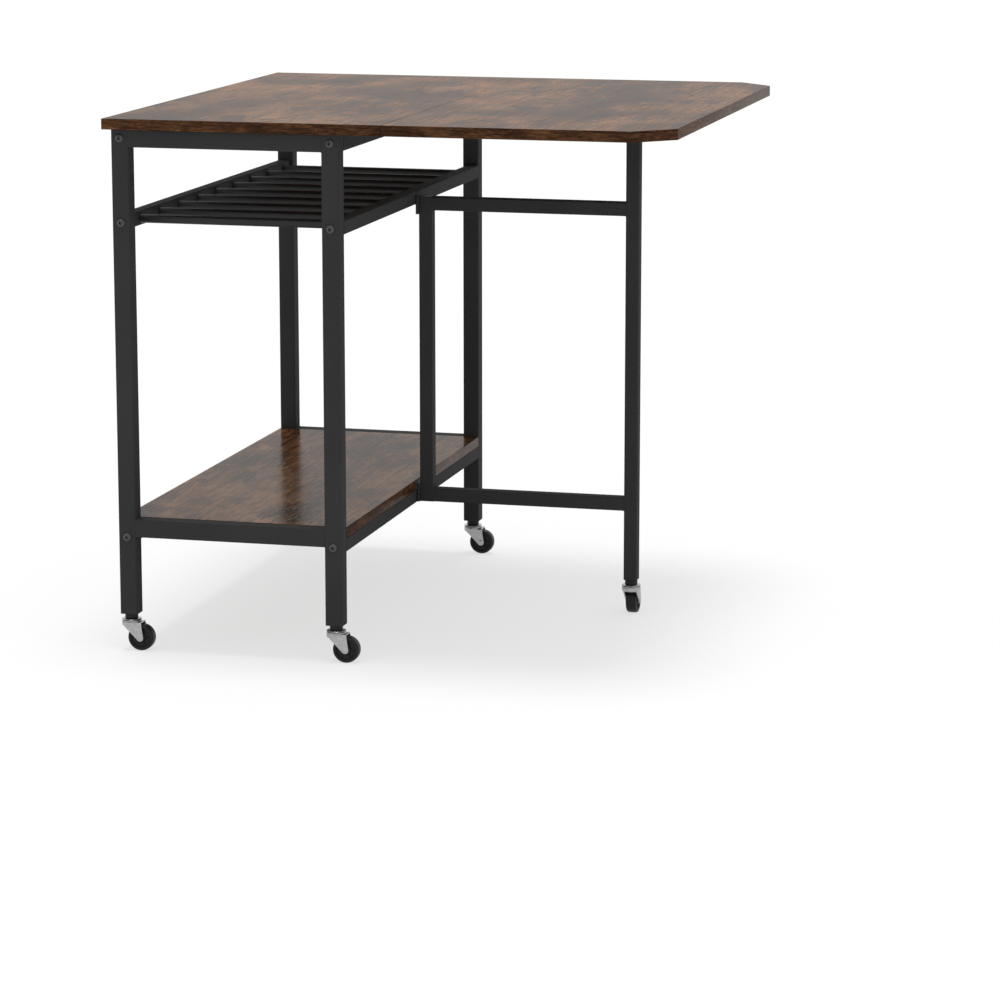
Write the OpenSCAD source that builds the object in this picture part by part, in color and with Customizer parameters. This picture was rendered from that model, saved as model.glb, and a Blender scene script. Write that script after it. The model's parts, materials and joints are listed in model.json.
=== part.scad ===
// Folding dining table on casters. A fixed top stands on an open steel trolley frame
// with a rack and a shelf, and a hinged leaf is held up by a gate that swings out.
// Millimetres, +Z up. The origin is on the floor, under the middle of the seam.
// The leaf lies towards +X, and the long rails and the seam run along Y.

/* [Tops] */
// Height of the table surface above the floor
table_height = 755; // [720:1:800]
// Length of both tops, along the seam
top_length = 800; // [700:10:1000]
// Depth of the fixed top, from its free edge to the middle of the seam
top_depth = 400; // [350:5:500]
// Depth of the leaf, from the middle of the seam to its free edge
leaf_depth = 400; // [340:5:450]
// Thickness of both tops and of the shelf
board_thick = 15; // [12:1:22]
// Corner cut of the leaf, along each edge
corner_cut = 52; // [20:2:90]
// Gap at the seam between the two tops
seam_gap = 0.5; // [0.4:0.1:1.5]
// Thickness of the edge band glued round each board
band_thick = 1; // [0.4:0.2:2]

/* [Frame] */
// Overhang of the fixed top past the frame, at its free edge and at both ends
top_overhang = 10; // [0:1:30]
// Distance from the frame to the middle of the seam
frame_inset = 62; // [54:1:110]
// Width of the square tube of the legs and the top and end rails
leg_tube = 25; // [22:1:32]
// Width of the square tube of the rack rails, shelf rails and gate
rail_tube = 20; // [18:1:22]
// Wall of the square tubes
tube_wall = 1.2; // [0.8:0.1:1.6]
// Outside corner radius of the square tubes
tube_round = 2.2; // [1.8:0.1:3]
// Height of the shelf surface above the floor
shelf_height = 190; // [150:5:300]
// Gap between the shelf's ends and the end rails
shelf_gap = 0.5; // [0.3:0.1:2]
// Height of the underside of the rack rails above the floor
rack_height = 600; // [500:5:650]
// Diameter of the round rack bars
rack_bar = 12; // [8:1:16]
// Wall of the rack bars
rack_bar_wall = 1; // [0.6:0.1:1.4]
// Number of rack bars
rack_bar_count = 9; // [4:1:12]
// Distance from the inside of the legs to the middle of the outer rack bars
rack_end_gap = 31.4; // [12:0.2:60]

/* [Frame fasteners] */
// Diameter of the frame bolts
bolt_d = 6; // [5:1:8]
// Length of the frame bolts under the head
bolt_len = 40; // [39:1:60]
// Diameter of the frame bolt heads
bolt_head_d = 12; // [10:0.5:14]
// Height of the frame bolt heads
bolt_head_h = 3.3; // [2.5:0.1:5]
// Width across flats of the bolts' hexagon socket
bolt_socket = 4; // [3:0.5:5]
// Length of the threaded plugs in the rail ends
nut_len = 12; // [8:1:20]
// Diameter of the screws that hold the boards
board_screw_d = 4; // [3:0.5:5]
// Bite of the board screws in the boards
board_screw_bite = 10; // [6:0.5:11]
// Distance from a board's end to its screws
board_screw_end = 130; // [60:5:200]

/* [Leaf hinges] */
// Length of the leaf hinges, along the seam
leaf_hinge_len = 60; // [45:1:75]
// Reach of each hinge plate from the middle of the seam
leaf_hinge_reach = 28; // [24:1:30]
// Thickness of the hinge plates
leaf_plate = 2; // [1.6:0.1:2.2]
// Diameter of the leaf hinge barrels
leaf_barrel_d = 6; // [5.6:0.2:8]
// Diameter of the leaf hinge pins
leaf_pin_d = 3; // [2:0.1:3.4]
// Distance between the two outer leaf hinges
leaf_hinge_span = 480; // [200:10:500]
// Diameter of the hinge screws
hinge_screw_d = 3; // [2.5:0.5:3.5]
// Bite of the hinge screws in the boards
hinge_screw_bite = 10; // [6:1:11]

/* [Gate] */
// Reach of the open gate from its pivot to its far side
gate_reach = 332; // [260:1:336]
// Distance of the open gate's near face behind the middle of the table
gate_set_back = 1.7; // [0:0.1:20]
// Height of the upper side of the gate's top rail above the floor
gate_top = 612; // [608:1:619]
// Height of the underside of the gate's lower rail above the floor
gate_bottom = 157; // [156:1:160]
// Diameter of the gate hinge barrels
gate_barrel_d = 5; // [4.6:0.2:7]
// Diameter of the gate hinge pins
gate_pin_d = 2.6; // [2:0.1:3]
// Length of each gate hinge knuckle
gate_knuckle_len = 13.5; // [10:0.5:15]
// Thickness of the pad on the gate's far post, under the leaf
gate_pad = 1.5; // [1:0.5:4]
// Length of the stop under the leaf, along X
stop_len = 77; // [50:1:90]
// Thickness of the stop
stop_thick = 5; // [4:0.5:8]
// Depth of the stop below the leaf
stop_depth = 10; // [8:1:14]

/* [Casters] */
// Height from the floor to the ends of the legs
caster_height = 53.5; // [53:0.5:64]
// Diameter of the caster wheels
wheel_d = 38; // [34:1:38]
// Width of the caster wheels
wheel_width = 16; // [14:1:17]
// Distance from the swivel axis to the wheel axle
caster_trail = 15; // [13:1:19]
// Thickness of the fork's cheeks
cheek_thick = 1.8; // [1.5:0.1:2.2]
// Diameter of the caster stems
stem_d = 8; // [6:1:9]
// Height of the caster stems inside the legs
stem_rise = 22; // [14:1:30]
// Diameter of the wheel axles
axle_d = 6; // [5:0.5:7]
// Diameter of the fork's round crown and of the ball races
crown_d = 28; // [26:1:32]
// Diameter of the insert's boss that shows under each tube
insert_boss_d = 18.5; // [14:0.5:20]

/* [Fits] */
// Gap between pieces that move past each other
run_gap = 0.3; // [0.25:0.01:0.4]
// Radial clearance of a pin, stem or axle in its bore
pin_clear = 0.05; // [0.03:0.01:0.08]
// Radial clearance of a bolt or screw in a drilled wall
hole_clear = 0.2; // [0.1:0.05:0.4]
// Clearance of a plug inside its tube, each side
plug_clear = 0.1; // [0.05:0.05:0.3]

/* [Hidden] */
$fn = 64;
over = 1;

// Heights
board_under = table_height - board_thick;
leg_len = board_under - caster_height;
shelf_under = shelf_height - board_thick;
shelf_rail_z = shelf_under - rail_tube / 2;
rack_rail_z = rack_height + rail_tube / 2;
top_rail_z = board_under - leg_tube / 2;
end_low_z = shelf_height - leg_tube / 2;
bolt_heights = [top_rail_z, rack_rail_z, shelf_rail_z];

// Frame outline, legs and rails in plan
frame_left = -top_depth + top_overhang;
frame_right = -frame_inset;
frame_depth = frame_right - frame_left;
frame_end = top_length / 2 - top_overhang;
leg_x = [frame_left + leg_tube / 2, frame_right - leg_tube / 2];
leg_y = [-frame_end + leg_tube / 2, frame_end - leg_tube / 2];
rail_x = [frame_left + rail_tube / 2, frame_right - rail_tube / 2];
rail_half = frame_end - leg_tube;
end_rail_len = frame_depth - 2 * leg_tube;
rack_bar_len = frame_depth - 2 * rail_tube;
rack_pitch = 2 * (rail_half - rack_end_gap) / (rack_bar_count - 1);
shelf_half = rail_half - shelf_gap;

// Fasteners
washer_edge = 1;
board_screw_head_d = 2 * board_screw_d;
board_screw_head_h = 0.6 * board_screw_d;
top_screw_y = top_length / 2 - board_screw_end;
shelf_screw_y = shelf_half - board_screw_end;

// Leaf hinges: the barrel hangs just clear of the boards
leaf_pivot_z = board_under - leaf_barrel_d / 2 - run_gap;
leaf_knuckle_len = (leaf_hinge_len - 2 * run_gap) / 3;
leaf_plate_edge = seam_gap / 2 + run_gap;
leaf_notch_edge = leaf_barrel_d / 2 + run_gap;
leaf_hinge_y = [-leaf_hinge_span / 2, 0, leaf_hinge_span / 2];
hinge_screw_x = (leaf_barrel_d / 2 + leaf_hinge_reach) / 2;
hinge_screw_shift = leaf_hinge_reach / 9;
hinge_screw_y = leaf_hinge_len / 3;

// Gate hinge: the barrel stands just clear of the rails, and the post's near corner
// stands just clear of the barrel, at post_corner_turn from the X axis
post_corner_turn = 65;
post_corner_far = gate_barrel_d / 2 + 1.2 * run_gap;
gate_pivot_x = frame_right + gate_barrel_d / 2 + run_gap;
gate_pivot_y = gate_set_back - post_corner_far * sin(post_corner_turn);
gate_near_x = gate_pivot_x + post_corner_far * cos(post_corner_turn);
gate_far_x = gate_pivot_x + gate_reach;
gate_mid_y = gate_set_back + rail_tube / 2;
gate_post_x = [gate_near_x + rail_tube / 2, gate_far_x - rail_tube / 2];
gate_rail_len = gate_reach - (gate_near_x - gate_pivot_x) - 2 * rail_tube;
gate_post_top = board_under - run_gap - gate_pad;
weld_width = 0.6 * gate_barrel_d;
plug_flange = 1;
plug_len = 12;

// Stop under the leaf, beside the open gate's far post
stop_y = gate_set_back + rail_tube + run_gap;
stop_x = gate_far_x - rail_tube / 2 - stop_len / 2;
stop_screw_d = 2.5;
stop_screw_head_d = 4;
stop_screw_head_h = 1.5;
stop_screw_bite = 9;

// Casters, from the floor up
axle_z = wheel_d / 2;
crown_low = caster_height - 13.9;
crown_top = crown_low + 2;
skirt_low = crown_top - 5.4;
race_top = crown_top + 2;
collar_low = race_top + 2 * run_gap;
collar_top = collar_low + 1.6;
rivet_h = 1.6;
rivet_d = 1.6 * stem_d;
fork_half = wheel_width / 2 + 2 * run_gap + cheek_thick;
cheek_foot_r = axle_d / 2 + 2;
cheek_back = -0.32 * crown_d;
cheek_front = caster_trail + 1.7;
axle_head_d = 1.25 * axle_d;
axle_head_h = 1;
hub_d = 14;
rim_d = 0.74 * wheel_d;
web_sink = 2.5;
tread_shoulder = 2;
gate_caster = [gate_post_x[1], gate_mid_y];

// Square tube and its fittings

// Outline of a square tube with round corners, centred
module tube_outline(width, corner) {
    square([width - 2 * corner, width], center = true);
    square([width, width - 2 * corner], center = true);
    for (sx = [-1, 1], sy = [-1, 1])
        translate([sx * (width / 2 - corner), sy * (width / 2 - corner)])
            circle(r = corner);
}

// Square tube along Z, from the origin up
module tube(width, length) {
    difference() {
        linear_extrude(length)
            tube_outline(width, tube_round);
        translate([0, 0, -over])
            linear_extrude(length + 2 * over)
                tube_outline(width - 2 * tube_wall, tube_round - tube_wall);
    }
}

// The same tube along X or Y, centred on the origin
module tube_x(width, length) {
    translate([-length / 2, 0, 0])
        rotate([0, 90, 0])
            tube(width, length);
}

module tube_y(width, length) {
    translate([0, -length / 2, 0])
        rotate([-90, 0, 0])
            tube(width, length);
}

// Plug that fills a tube's inside, along Z, its corners cut clear of the tube's round
// ones, with a bore off its middle
module plug(width, length, bore_d = 0, shift = 0) {
    a = width / 2 - tube_wall - plug_clear;
    b = a - tube_round;
    difference() {
        linear_extrude(length)
            polygon([[a, -b], [a, b], [b, a], [-b, a], [-a, b], [-a, -b], [-b, -a], [b, -a]]);
        if (bore_d > 0)
            translate([shift, 0, -over])
                cylinder(d = bore_d, h = length + 2 * over);
    }
}

// Flat-headed screw along +Z, its head below the origin
module pan_screw(d, length, head_d, head_h) {
    cylinder(d = d, h = length);
    translate([0, 0, -head_h])
        cylinder(d1 = 0.8 * head_d, d2 = head_d, h = head_h / 2);
    translate([0, 0, -head_h / 2])
        cylinder(d = head_d, h = head_h / 2);
}

// Button-head bolt along +Z with a hexagon socket, its head below the origin
module frame_bolt() {
    difference() {
        union() {
            cylinder(d = bolt_d, h = bolt_len);
            translate([0, 0, -washer_edge])
                cylinder(d = bolt_head_d, h = washer_edge);
            translate([0, 0, -bolt_head_h])
                cylinder(d1 = 0.55 * bolt_head_d, d2 = 0.96 * bolt_head_d,
                    h = bolt_head_h - washer_edge);
        }
        translate([0, 0, -bolt_head_h - over])
            cylinder(d = bolt_socket / cos(30), h = over + 0.7 * bolt_head_h, $fn = 6);
    }
}

// Boards

// Outline of a board drawn in from its edges, with the two far corners cut
module board_outline(near_x, far_x, half, cut, inset) {
    c = max(0, cut - inset * (2 - sqrt(2)));
    x0 = near_x + inset;
    x1 = far_x - inset;
    y1 = half - inset;
    if (cut > 0)
        polygon([[x0, -y1], [x1 - c, -y1], [x1, -y1 + c], [x1, y1 - c], [x1 - c, y1], [x0, y1]]);
    else
        polygon([[x0, -y1], [x1, -y1], [x1, y1], [x0, y1]]);
}

module board_core(near_x, far_x, half, cut, low_z) {
    translate([0, 0, low_z])
        linear_extrude(board_thick)
            board_outline(near_x, far_x, half, cut, band_thick);
}

module board_band(near_x, far_x, half, cut, low_z) {
    translate([0, 0, low_z])
        linear_extrude(board_thick)
            difference() {
                board_outline(near_x, far_x, half, cut, 0);
                board_outline(near_x, far_x, half, cut, band_thick);
            }
}

// Pilot holes for the screws that come up through the rails
module board_pilots(low_z, screw_y) {
    for (x = leg_x, side = [-1, 1])
        translate([x, side * screw_y, low_z - over])
            cylinder(d = board_screw_d + 2 * pin_clear, h = over + board_screw_bite + run_gap);
}

// Pilot holes for the hinge screws on one side of the seam
module hinge_pilots(side) {
    for (y = leaf_hinge_y, k = [-1, 0, 1])
        translate([side * hinge_hole_x(k), y + k * hinge_screw_y, board_under - over])
            cylinder(d = hinge_screw_d + 2 * pin_clear, h = over + hinge_screw_bite + run_gap);
}

module fixed_top() {
    color("saddlebrown")
        difference() {
            board_core(-top_depth, -seam_gap / 2, top_length / 2, 0, board_under);
            board_pilots(board_under, top_screw_y);
            hinge_pilots(-1);
        }
}

module fixed_top_band() {
    color("sienna")
        board_band(-top_depth, -seam_gap / 2, top_length / 2, 0, board_under);
}

module lower_shelf() {
    color("saddlebrown")
        difference() {
            board_core(frame_left, frame_right, shelf_half, 0, shelf_under);
            board_pilots(shelf_under, shelf_screw_y);
        }
}

module lower_shelf_band() {
    color("sienna")
        board_band(frame_left, frame_right, shelf_half, 0, shelf_under);
}

module drop_leaf() {
    color("saddlebrown")
        difference() {
            board_core(seam_gap / 2, leaf_depth, top_length / 2, corner_cut, board_under);
            hinge_pilots(1);
            for (x = stop_screw_xs())
                translate([x, stop_y + stop_thick / 2, board_under - over])
                    cylinder(d = stop_screw_d + 2 * pin_clear, h = over + stop_screw_bite + run_gap);
        }
}

module drop_leaf_band() {
    color("sienna")
        board_band(seam_gap / 2, leaf_depth, top_length / 2, corner_cut, board_under);
}

// Trolley frame

// Leg with its holes for the frame bolts; column and row pick its corner
module leg(column, row) {
    color("dimgray")
        translate([leg_x[column], leg_y[row], 0])
            difference() {
                translate([0, 0, caster_height])
                    tube(leg_tube, leg_len);
                for (z = bolt_heights)
                    translate([0, 0, z])
                        rotate([90, 0, 0])
                            cylinder(d = bolt_d + 2 * hole_clear, h = leg_tube + 2 * over, center = true);
            }
}

// Short rail welded between the two legs of one end
module end_rail(row, z) {
    color("dimgray")
        translate([(frame_left + frame_right) / 2, leg_y[row], z])
            tube_x(leg_tube, end_rail_len);
}

// Long rail between the two ends, with holes for the board screws
module long_rail(x, z, width, screw_y) {
    color("dimgray")
        difference() {
            translate([x, 0, z])
                tube_y(width, 2 * rail_half);
            for (sx = leg_x, side = [-1, 1])
                if (abs(sx - x) < width / 2 && screw_y > 0)
                    translate([sx, side * screw_y, z])
                        cylinder(d = board_screw_d + 2 * hole_clear, h = width + 2 * over, center = true);
        }
}

// Round bars welded between the rack rails
module rack_bars() {
    color("dimgray")
        for (k = [0 : rack_bar_count - 1])
            translate([frame_left + rail_tube, -rail_half + rack_end_gap + k * rack_pitch, rack_rail_z])
                rotate([0, 90, 0])
                    difference() {
                        cylinder(d = rack_bar, h = rack_bar_len);
                        translate([0, 0, -over])
                            cylinder(d = rack_bar - 2 * rack_bar_wall, h = rack_bar_len + 2 * over);
                    }
}

// Puts its children at each frame bolt's place, turned to point into the frame
module at_bolts() {
    for (column = [0, 1], row = [0, 1], level = [0, 1, 2])
        translate([leg_x[column], (2 * row - 1) * frame_end, bolt_heights[level]])
            rotate([row == 0 ? -90 : 90, 0, 0])
                children();
}

module frame_bolts() {
    color("black")
        at_bolts()
            frame_bolt();
}

// Threaded plugs in the rail ends; the thin rails lie off the leg's middle
module rail_nuts() {
    bore = bolt_d + 2 * pin_clear;
    color("silver")
        for (column = [0, 1], row = [0, 1], level = [0, 1, 2]) {
            width = level == 0 ? leg_tube : rail_tube;
            x = level == 0 ? leg_x[column] : rail_x[column];
            translate([x, (2 * row - 1) * rail_half, bolt_heights[level]])
                rotate([row == 0 ? -90 : 90, 0, 0])
                    plug(width, nut_len, bore, leg_x[column] - x);
        }
}

module board_screws(rail_z, width, screw_y) {
    color("silver")
        for (x = leg_x, side = [-1, 1])
            translate([x, side * screw_y, rail_z - width / 2])
                pan_screw(board_screw_d, width + board_screw_bite, board_screw_head_d, board_screw_head_h);
}

// Insert in the lower end of a tube: a plug and a round boss that takes the caster's stem
module caster_insert(width) {
    bore = stem_d + 2 * pin_clear;
    translate([0, 0, caster_height])
        plug(width, plug_len, bore);
    translate([0, 0, collar_top])
        difference() {
            cylinder(d = insert_boss_d, h = caster_height - collar_top);
            translate([0, 0, -over])
                cylinder(d = bore, h = caster_height);
        }
}

module leg_inserts() {
    color("black")
        for (x = leg_x, y = leg_y)
            translate([x, y, 0])
                caster_insert(leg_tube);
}

// Leaf hinges

// Distance of a hinge screw from the seam: the middle one sits further out
function hinge_hole_x(k) = hinge_screw_x + (k == 0 ? hinge_screw_shift : -hinge_screw_shift);

// One hinge plate on the +X side with its knuckles; outer picks the two end knuckles
module hinge_leaf(outer) {
    pitch = leaf_knuckle_len + run_gap;
    own = outer ? [-1, 1] : [0];
    difference() {
        union() {
            translate([leaf_notch_edge, -leaf_hinge_len / 2, board_under - leaf_plate])
                cube([leaf_hinge_reach - leaf_notch_edge, leaf_hinge_len, leaf_plate]);
            for (k = own) {
                translate([leaf_plate_edge, k * pitch - leaf_knuckle_len / 2, board_under - leaf_plate])
                    cube([leaf_notch_edge - leaf_plate_edge + over, leaf_knuckle_len, leaf_plate]);
                translate([0, k * pitch, leaf_pivot_z])
                    rotate([90, 0, 0])
                        cylinder(d = leaf_barrel_d, h = leaf_knuckle_len, center = true);
            }
        }
        translate([0, 0, leaf_pivot_z])
            rotate([90, 0, 0])
                cylinder(d = leaf_pin_d + 2 * pin_clear, h = leaf_hinge_len + 2 * over, center = true);
        for (k = [-1, 0, 1])
            translate([hinge_hole_x(k), k * hinge_screw_y, board_under - leaf_plate - over])
                cylinder(d = hinge_screw_d + 2 * hole_clear, h = leaf_plate + 2 * over);
    }
}

module leaf_hinge_flaps() {
    color("gray")
        for (y = leaf_hinge_y)
            translate([0, y, 0])
                hinge_leaf(false);
}

module leaf_hinge_plates() {
    color("gray")
        for (y = leaf_hinge_y)
            translate([0, y, 0])
                mirror([1, 0, 0])
                    hinge_leaf(true);
}

module leaf_hinge_pins() {
    color("silver")
        for (y = leaf_hinge_y)
            translate([0, y, leaf_pivot_z])
                rotate([90, 0, 0])
                    cylinder(d = leaf_pin_d, h = leaf_hinge_len, center = true);
}

module hinge_screws(side) {
    color("silver")
        for (y = leaf_hinge_y, k = [-1, 0, 1])
            translate([side * hinge_hole_x(k), y + k * hinge_screw_y, board_under - leaf_plate])
                pan_screw(hinge_screw_d, leaf_plate + hinge_screw_bite, 2 * hinge_screw_d, 0.5 * hinge_screw_d);
}

// Stop for the open gate, screwed under the leaf
function stop_screw_xs() = [stop_x + stop_len / 5, stop_x + stop_len * 4 / 5];

module gate_stop() {
    color("black")
        difference() {
            translate([stop_x, stop_y, board_under - stop_depth])
                cube([stop_len, stop_thick, stop_depth]);
            for (x = stop_screw_xs())
                translate([x, stop_y + stop_thick / 2, board_under - stop_depth - over])
                    cylinder(d = stop_screw_d + 2 * hole_clear, h = stop_depth + 2 * over);
        }
}

module gate_stop_screws() {
    color("silver")
        for (x = stop_screw_xs())
            translate([x, stop_y + stop_thick / 2, board_under - stop_depth])
                pan_screw(stop_screw_d, stop_depth + stop_screw_bite, stop_screw_head_d, stop_screw_head_h);
}

// Gate

// Levels of the hinge knuckles: each fixed one sits on a rail, with its moving one
// towards the middle of the post
gate_fixed_z = [rack_height + run_gap, gate_bottom];
gate_moving_z = [rack_height - gate_knuckle_len, gate_bottom + gate_knuckle_len + run_gap];

module gate_near_post() {
    color("dimgray")
        translate([gate_post_x[0], gate_mid_y, gate_bottom + plug_flange])
            tube(rail_tube, gate_top - gate_bottom - 2 * plug_flange);
}

module gate_far_post() {
    color("dimgray")
        translate([gate_post_x[1], gate_mid_y, caster_height])
            tube(rail_tube, gate_post_top - caster_height);
}

module gate_rail(z) {
    color("dimgray")
        translate([(gate_post_x[0] + gate_post_x[1]) / 2, gate_mid_y, z])
            tube_x(rail_tube, gate_rail_len);
}

// End plugs of the near post, with a thin flange over the tube's end
module gate_plugs() {
    color("black")
        translate([gate_post_x[0], gate_mid_y, 0])
            for (end = [[gate_bottom, 0], [gate_top, 180]])
                translate([0, 0, end[0]])
                    rotate([end[1], 0, 0]) {
                        linear_extrude(plug_flange)
                            tube_outline(rail_tube, tube_round);
                        translate([0, 0, plug_flange])
                            plug(rail_tube, plug_len);
                    }
}

module gate_pad_cap() {
    color("black")
        translate([gate_post_x[1], gate_mid_y, gate_post_top]) {
            linear_extrude(gate_pad)
                tube_outline(rail_tube, tube_round);
            translate([0, 0, -plug_len])
                plug(rail_tube, plug_len);
        }
}

module gate_insert() {
    color("black")
        translate([gate_caster[0], gate_caster[1], 0])
            caster_insert(rail_tube);
}

module gate_bore() {
    translate([0, 0, -over])
        cylinder(d = gate_pin_d + 2 * pin_clear, h = gate_knuckle_len + 2 * over);
}

// Fixed knuckles, each welded to a rail by a short web
module gate_hinge_brackets() {
    color("dimgray")
        for (z = gate_fixed_z)
            translate([gate_pivot_x, gate_pivot_y, z])
                difference() {
                    union() {
                        cylinder(d = gate_barrel_d, h = gate_knuckle_len);
                        translate([frame_right - gate_pivot_x, -weld_width / 2, 0])
                            cube([gate_pivot_x - frame_right, weld_width, gate_knuckle_len]);
                    }
                    gate_bore();
                }
}

// Moving knuckles, each welded to the near face of the post by a short web
module gate_hinge_knuckles() {
    color("dimgray")
        for (z = gate_moving_z)
            translate([gate_pivot_x, gate_pivot_y, z])
                difference() {
                    union() {
                        cylinder(d = gate_barrel_d, h = gate_knuckle_len);
                        cube([gate_barrel_d / 2, gate_set_back - gate_pivot_y, gate_knuckle_len]);
                    }
                    gate_bore();
                }
}

module gate_hinge_pins() {
    color("silver")
        for (z = [rack_height - gate_knuckle_len, gate_bottom])
            translate([gate_pivot_x, gate_pivot_y, z])
                cylinder(d = gate_pin_d, h = 2 * gate_knuckle_len + run_gap);
}

// Casters, modelled with the swivel axis on Z and the wheel trailing towards +X

// Stem with its riveted lower end and the upper ball race
module stem() {
    translate([0, 0, crown_low - run_gap - rivet_h])
        cylinder(d = rivet_d, h = rivet_h);
    translate([0, 0, crown_low - run_gap])
        cylinder(d = stem_d, h = caster_height + stem_rise - crown_low + run_gap);
    translate([0, 0, collar_low])
        cylinder(d = crown_d, h = collar_top - collar_low);
}

// Side view of one cheek: its rear edge is nearly upright, and its front edge slants
// from below the skirt to a round foot at the axle
module cheek_outline() {
    front = [caster_trail - cheek_back, skirt_low - axle_z];
    rear = [cheek_front - caster_trail, crown_top - axle_z];
    front_turn = cheek_foot_r * [-front[1], -front[0]] / norm(front);
    rear_turn = cheek_foot_r * [rear[1], -rear[0]] / norm(rear);
    foot = [caster_trail, axle_z];
    polygon([
        [cheek_back, crown_top], [cheek_back, skirt_low], foot + front_turn, foot + rear_turn,
        [cheek_front, crown_top]
    ]);
    translate(foot)
        circle(r = cheek_foot_r);
}

// Round crown with a skirt at its front, open towards the wheel and closed onto the cheeks
module fork_crown() {
    difference() {
        translate([0, 0, skirt_low])
            cylinder(d = crown_d, h = crown_top - skirt_low);
        intersection() {
            translate([0, 0, skirt_low - over])
                cylinder(d = crown_d - 2 * cheek_thick, h = over + crown_low - skirt_low);
            translate([-crown_d, -fork_half, 0])
                cube([2 * crown_d, 2 * fork_half, crown_low]);
        }
        translate([0, -crown_d, skirt_low - over])
            cube([crown_d, 2 * crown_d, over + crown_low - skirt_low]);
    }
    translate([0, 0, crown_top])
        cylinder(d = crown_d, h = race_top - crown_top);
    translate([0, -fork_half, crown_low])
        cube([cheek_front, 2 * fork_half, crown_top - crown_low]);
}

module fork() {
    difference() {
        union() {
            fork_crown();
            for (side = [-1, 1])
                translate([0, side * (fork_half - cheek_thick / 2), 0])
                    rotate([90, 0, 0])
                        linear_extrude(cheek_thick, center = true)
                            cheek_outline();
        }
        translate([0, 0, crown_low - over])
            cylinder(d = stem_d + 2 * pin_clear, h = caster_height);
        translate([caster_trail, 0, axle_z])
            rotate([90, 0, 0])
                cylinder(d = axle_d + 2 * pin_clear, h = 3 * wheel_width, center = true);
    }
}

// Rivet axle with a head outside each cheek
module axle() {
    translate([caster_trail, 0, axle_z])
        rotate([90, 0, 0]) {
            cylinder(d = axle_d, h = 2 * fork_half, center = true);
            for (side = [-1, 1])
                translate([0, 0, side * (fork_half + axle_head_h / 2)])
                    cylinder(d = axle_head_d, h = axle_head_h, center = true);
        }
}

// Wheel with a sunk web between its hub and its rim, and a tread with eased shoulders
module wheel() {
    half = wheel_width / 2;
    bore = axle_d / 2 + pin_clear;
    side = [
        [hub_d / 2, half], [hub_d / 2 + 1, half - web_sink], [rim_d / 2 - 1, half - web_sink],
        [rim_d / 2, half], [wheel_d / 2 - tread_shoulder, half],
        [wheel_d / 2 - 0.3 * tread_shoulder, half - 0.4 * tread_shoulder],
        [wheel_d / 2, half - 1.4 * tread_shoulder]
    ];
    other = [for (k = [len(side) - 1 : -1 : 0]) [side[k][0], -side[k][1]]];
    translate([caster_trail, 0, axle_z])
        rotate([90, 0, 0])
            rotate_extrude()
                polygon(concat([[bore, half]], side, other, [[bore, -half]]));
}

// Puts a caster under a leg or the gate and turns its trail
module at_leg(column, row) {
    translate([leg_x[column], leg_y[row], 0])
        children();
}

module at_gate() {
    translate([gate_caster[0], gate_caster[1], 0])
        rotate([0, 0, 90])
            children();
}

module leg_stems() {
    color("silver")
        for (column = [0, 1], row = [0, 1])
            at_leg(column, row)
                stem();
}

module gate_stem() {
    color("silver")
        at_gate()
            stem();
}

module leg_fork(column, row) {
    color("silver")
        at_leg(column, row)
            fork();
}

module leg_axle(column, row) {
    color("silver")
        at_leg(column, row)
            axle();
}

module leg_wheel(column, row) {
    color("black")
        at_leg(column, row)
            wheel();
}

module fork_gate() {
    color("silver")
        at_gate()
            fork();
}

module axle_gate() {
    color("silver")
        at_gate()
            axle();
}

module wheel_gate() {
    color("black")
        at_gate()
            wheel();
}

fixed_top();
fixed_top_band();
lower_shelf();
lower_shelf_band();
leg(0, 0);  // leg_front_left
leg(1, 0);  // leg_front_right
leg(0, 1);  // leg_rear_left
leg(1, 1);  // leg_rear_right
end_rail(0, top_rail_z);  // end_top_rail_front
end_rail(1, top_rail_z);  // end_top_rail_rear
end_rail(0, end_low_z);  // end_low_rail_front
end_rail(1, end_low_z);  // end_low_rail_rear
long_rail(leg_x[0], top_rail_z, leg_tube, top_screw_y);  // top_rail_left
long_rail(leg_x[1], top_rail_z, leg_tube, top_screw_y);  // top_rail_right
long_rail(rail_x[0], rack_rail_z, rail_tube, 0);  // rack_rail_left
long_rail(rail_x[1], rack_rail_z, rail_tube, 0);  // rack_rail_right
rack_bars();
long_rail(rail_x[0], shelf_rail_z, rail_tube, shelf_screw_y);  // shelf_rail_left
long_rail(rail_x[1], shelf_rail_z, rail_tube, shelf_screw_y);  // shelf_rail_right
rail_nuts();
frame_bolts();
board_screws(top_rail_z, leg_tube, top_screw_y);  // top_screws
board_screws(shelf_rail_z, rail_tube, shelf_screw_y);  // shelf_screws
leg_inserts();
leg_stems();
leaf_hinge_plates();
leaf_hinge_pins();
hinge_screws(-1);  // leaf_plate_screws
gate_hinge_brackets();
gate_hinge_pins();
drop_leaf();
drop_leaf_band();
leaf_hinge_flaps();
hinge_screws(1);  // leaf_flap_screws
gate_stop();
gate_stop_screws();
gate_near_post();
gate_far_post();
gate_rail(gate_top - rail_tube / 2);  // gate_top_rail
gate_rail(gate_bottom + rail_tube / 2);  // gate_low_rail
gate_hinge_knuckles();
gate_plugs();
gate_pad_cap();
gate_insert();
gate_stem();
leg_fork(0, 0);  // fork_front_left
leg_axle(0, 0);  // axle_front_left
leg_wheel(0, 0);  // wheel_front_left
leg_fork(1, 0);  // fork_front_right
leg_axle(1, 0);  // axle_front_right
leg_wheel(1, 0);  // wheel_front_right
leg_fork(0, 1);  // fork_rear_left
leg_axle(0, 1);  // axle_rear_left
leg_wheel(0, 1);  // wheel_rear_left
leg_fork(1, 1);  // fork_rear_right
leg_axle(1, 1);  // axle_rear_right
leg_wheel(1, 1);  // wheel_rear_right
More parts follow.
